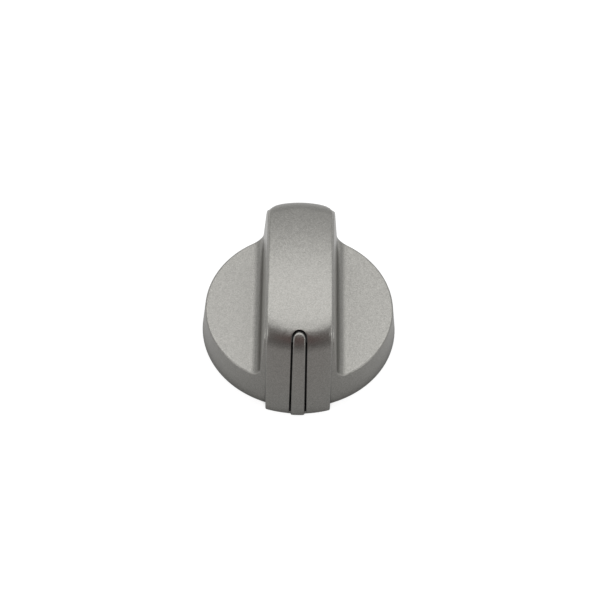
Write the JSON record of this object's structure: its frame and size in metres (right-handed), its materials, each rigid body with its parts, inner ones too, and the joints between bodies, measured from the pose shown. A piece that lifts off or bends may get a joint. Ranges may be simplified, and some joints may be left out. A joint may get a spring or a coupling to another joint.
{
  "type": "stove knob",
  "caption": "Round silver stove knob with a drafted skirt, a tall grip bar with a raised strap over it, a pointer let into the nose, and a spring-clip spindle socket underneath.",
  "frame": {"origin": "on the spindle axis, in the plane of the rim", "axes": "+Z along the spindle axis, away from the panel; the pointer faces -Y"},
  "size_m": [0.046, 0.0486, 0.0264],
  "materials": {
    "body": "silver metallic lacquer over a moulded body",
    "pointer": "silver metallic lacquer",
    "spring": "plain spring steel"
  },
  "bodies": {
    "root": {"knob_body": "body", "pointer_insert": "pointer", "shaft_spring": "spring"}
  },
  "joints": []
}
